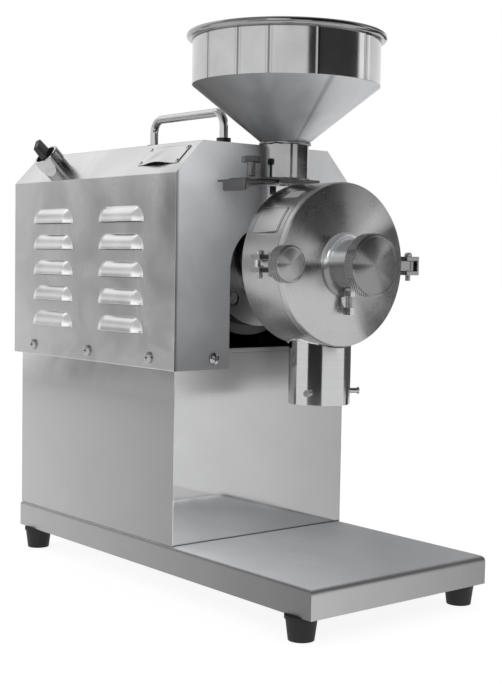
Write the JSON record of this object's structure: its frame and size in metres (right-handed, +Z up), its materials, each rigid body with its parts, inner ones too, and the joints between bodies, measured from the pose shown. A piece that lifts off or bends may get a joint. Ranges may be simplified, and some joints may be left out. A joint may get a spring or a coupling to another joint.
{
  "type": "disc mill",
  "caption": "Table-top disc mill: hopper over a slide gate, hinged grinding drum with a knurled adjuster and a spout, motor in a louvred stainless cover on a long footed tray.",
  "frame": {"origin": "middle of the footprint on the floor: halfway between the tray's front edge and the cover's back, under the mill axis", "axes": "+Z up, the grinding drum's door faces -Y, +X to the right seen from the front (the hinge side)"},
  "size_m": [0.2596, 0.502, 0.5396],
  "materials": {
    "sheet_steel": "satin stainless sheet with a fine grain",
    "hopper_steel": "smooth spun stainless",
    "cast_steel": "machined stainless casting",
    "spun_steel": "turned, with fine circular tool marks",
    "bright_steel": "bright metal",
    "plate_aluminium": "bare satin plate",
    "rubber": "matt black rubber",
    "black_plastic": "black moulding",
    "motor_paint": "black paint",
    "iron": "dark machined iron",
    "copper": "enamelled copper wire"
  },
  "bodies": {
    "mill_body": {"base_tray": "sheet_steel", "rubber_feet": "rubber", "foot_screws": "bright_steel", "cabinet": "sheet_steel", "motor_deck": "sheet_steel", "motor_cover": "sheet_steel", "cover_screws": "bright_steel", "top_handle": "bright_steel", "handle_collars": "iron", "handle_nuts": "bright_steel", "name_plate": "plate_aluminium", "plate_rivets": "bright_steel", "switch_collar": "bright_steel", "switch_nut": "black_plastic", "switch_block": "black_plastic", "cord_gland": "black_plastic", "motor_frame": "motor_paint", "motor_front_bell": "motor_paint", "motor_rear_bell": "motor_paint", "stator_core": "iron", "stator_windings": "copper", "ball_bearings": "bright_steel", "fan_cover": "motor_paint", "capacitor": "plate_aluminium", "motor_bolts": "bright_steel", "mill_flange": "cast_steel", "flange_bolts": "bright_steel", "feed_throat": "cast_steel", "inlet_tube": "sheet_steel", "gate_rails": "sheet_steel", "hopper": "hopper_steel", "grinding_drum": "cast_steel", "drum_label": "plate_aluminium", "outlet_spout": "sheet_steel", "bag_pegs": "bright_steel", "drum_ears": "cast_steel", "pivot_bolts": "bright_steel"},
    "rotor": {"motor_shaft": "bright_steel", "rotor_core": "iron", "cooling_fan": "black_plastic", "feed_auger": "iron", "turning_disc": "iron", "disc_nut": "bright_steel"},
    "door": {"door": "spun_steel", "door_lugs": "cast_steel", "door_knuckle": "cast_steel", "adjuster_boss": "spun_steel", "lock_nut": "bright_steel", "carrier_pins": "bright_steel"},
    "carrier": {"disc_carrier": "cast_steel", "front_disc": "iron"},
    "adjuster": {"adjusting_knob": "spun_steel", "adjusting_screw": "bright_steel"},
    "lock_screw": {"lock_screw": "bright_steel"},
    "clamp_bolt": {"clamp_bolt": "bright_steel"},
    "clamp_knob": {"clamp_knob": "spun_steel"},
    "gate": {"slide_gate": "sheet_steel"},
    "thumb_screw": {"gate_thumb_screw": "spun_steel"},
    "switch": {"switch_lever": "black_plastic"}
  },
  "joints": [
    {"name": "rotor_spin", "type": "hinge", "parent": "mill_body", "child": "rotor", "pos_m": [0, -0.06, 0.319], "axis": [0, 1, 0], "continuous": true},
    {"name": "door_swing", "type": "hinge", "parent": "mill_body", "child": "door", "pos_m": [0.092, -0.15925, 0.319], "axis": [0, 0, 1], "range_deg": [0, 100]},
    {"name": "adjuster_turn", "type": "hinge", "parent": "door", "child": "adjuster", "pos_m": [0, -0.2, 0.319], "axis": [0, 1, 0], "range_deg": [0, 300]},
    {"name": "carrier_feed", "type": "slide", "parent": "door", "child": "carrier", "axis": [0, 1, 0], "range_m": [0, 0.00125]},
    {"name": "lock_screw_turn", "type": "hinge", "parent": "door", "child": "lock_screw", "pos_m": [0, -0.1735, 0.29], "axis": [0, 0, 1], "range_deg": [0, 360]},
    {"name": "clamp_swing", "type": "hinge", "parent": "mill_body", "child": "clamp_bolt", "pos_m": [-0.0825, -0.144, 0.319], "axis": [0, 0, -1], "range_deg": [0, 100]},
    {"name": "clamp_knob_turn", "type": "hinge", "parent": "clamp_bolt", "child": "clamp_knob", "pos_m": [-0.0825, -0.18, 0.319], "axis": [0, -1, 0], "range_deg": [0, 1080]},
    {"name": "gate_slide", "type": "slide", "parent": "mill_body", "child": "gate", "axis": [-1, 0, 0], "range_m": [0, 0.043]},
    {"name": "thumb_screw_turn", "type": "hinge", "parent": "mill_body", "child": "thumb_screw", "pos_m": [-0.042, -0.0795, 0.4], "axis": [0, 0, 1], "range_deg": [0, 720]},
    {"name": "switch_turn", "type": "hinge", "parent": "mill_body", "child": "switch", "pos_m": [-0.09786, 0.181, 0.41644], "axis": [-0.7205, 0, 0.6935], "range_deg": [-90, 0]}
  ],
  "couplings": [
    {"joint": "adjuster_turn", "follows": "carrier_feed", "rad_per_m": 4188.7}
  ]
}
